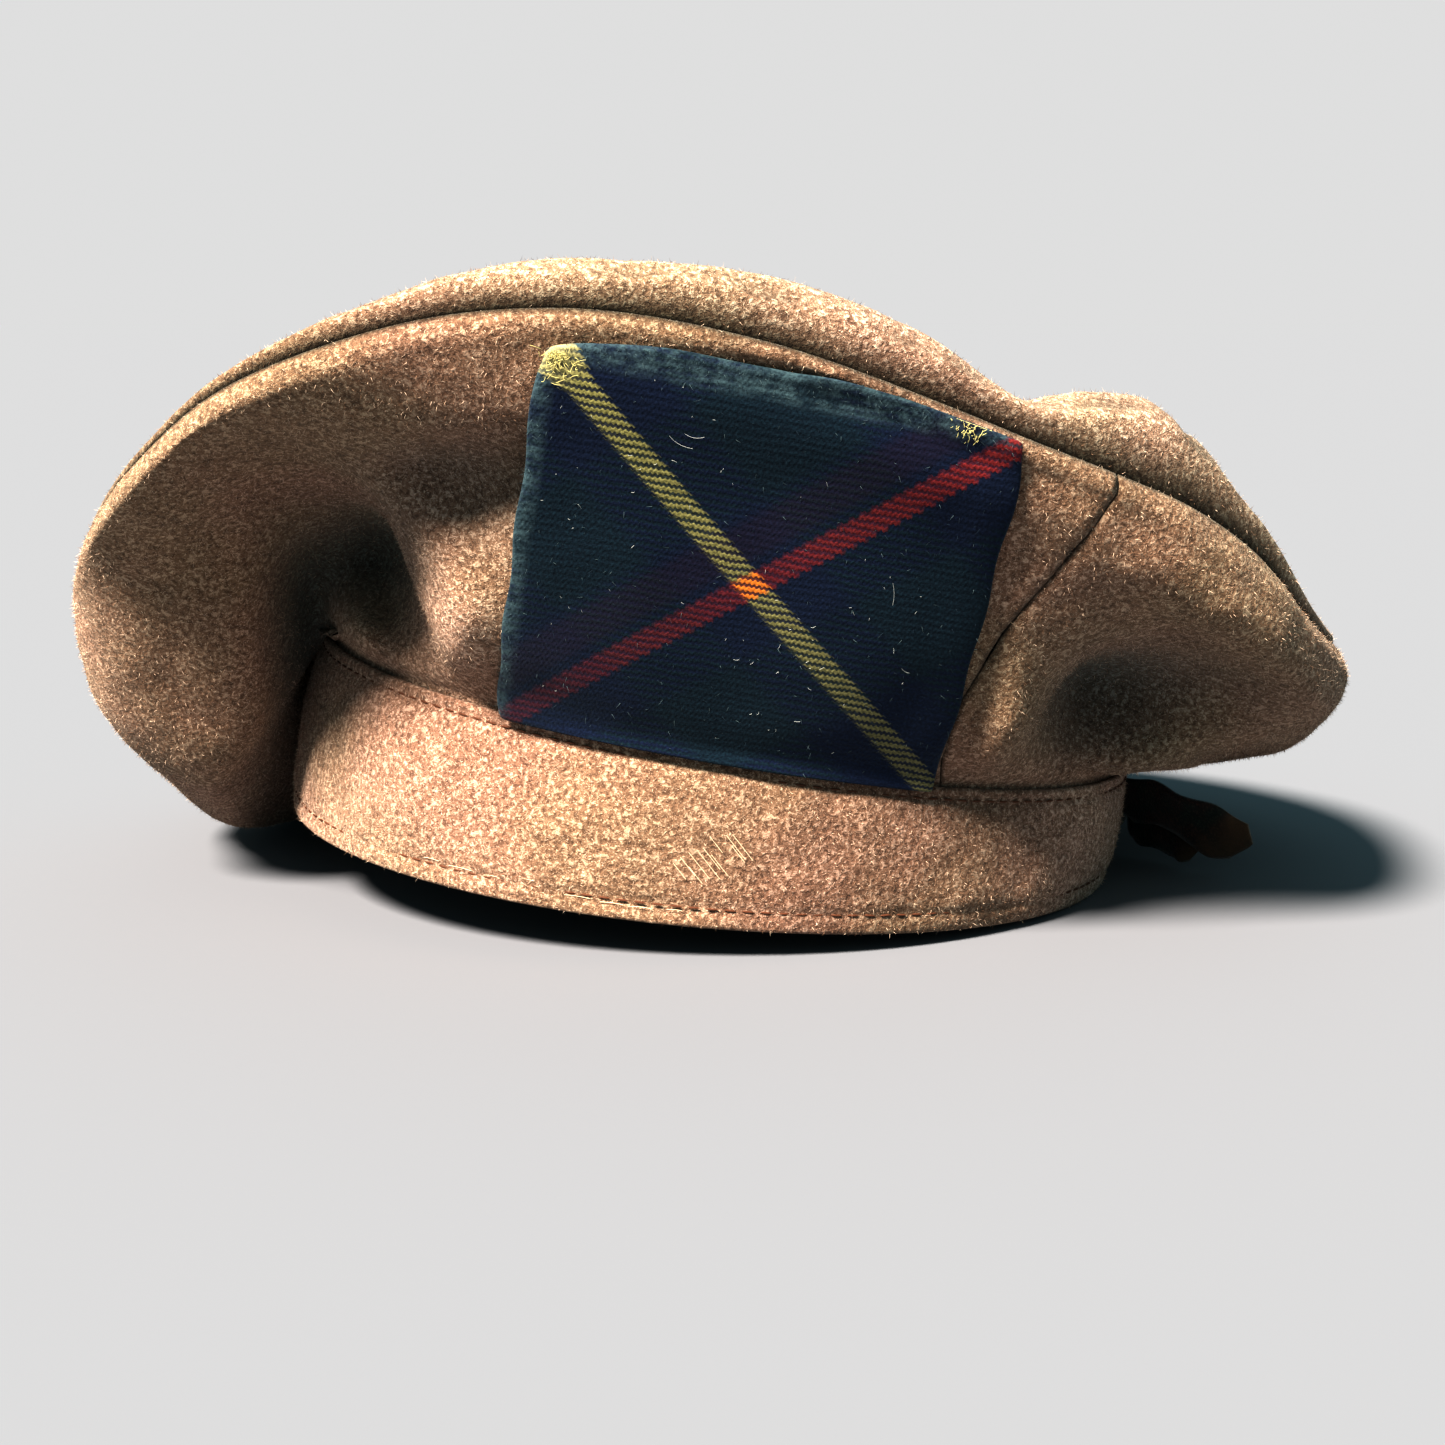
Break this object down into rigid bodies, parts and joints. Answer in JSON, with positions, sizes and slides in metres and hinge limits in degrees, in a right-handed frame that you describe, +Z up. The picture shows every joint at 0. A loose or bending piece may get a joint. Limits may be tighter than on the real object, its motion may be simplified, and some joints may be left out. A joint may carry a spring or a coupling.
{
  "type": "tam o'shanter",
  "caption": "Soft wool tam o'shanter with a folded head band, drooping to one side, with a tartan patch sewn on its raised side and a tape tie at the back.",
  "frame": {"origin": "middle of the bonnet's base, on the surface it rests on", "axes": "+X towards the wearer's back, -Y towards the wearer's left where the tartan patch is, +Z up"},
  "size_m": [0.2822, 0.2669, 0.1358],
  "materials": {
    "crown_wool": "thick khaki wool, fulled, with a fuzzy nap",
    "band_wool": "khaki wool, worn smooth, with the twill showing",
    "tartan": "dark blue and green tartan wool with yellow and red lines",
    "tape": "narrow dark woven tape"
  },
  "bodies": {
    "root": {"crown_top": "crown_wool", "crown_side_front": "crown_wool", "crown_side_back": "crown_wool", "headband": "band_wool", "tartan_patch": "tartan", "tie_knot": "tape", "tie_tail_upper": "tape", "tie_tail_lower": "tape"}
  },
  "joints": []
}
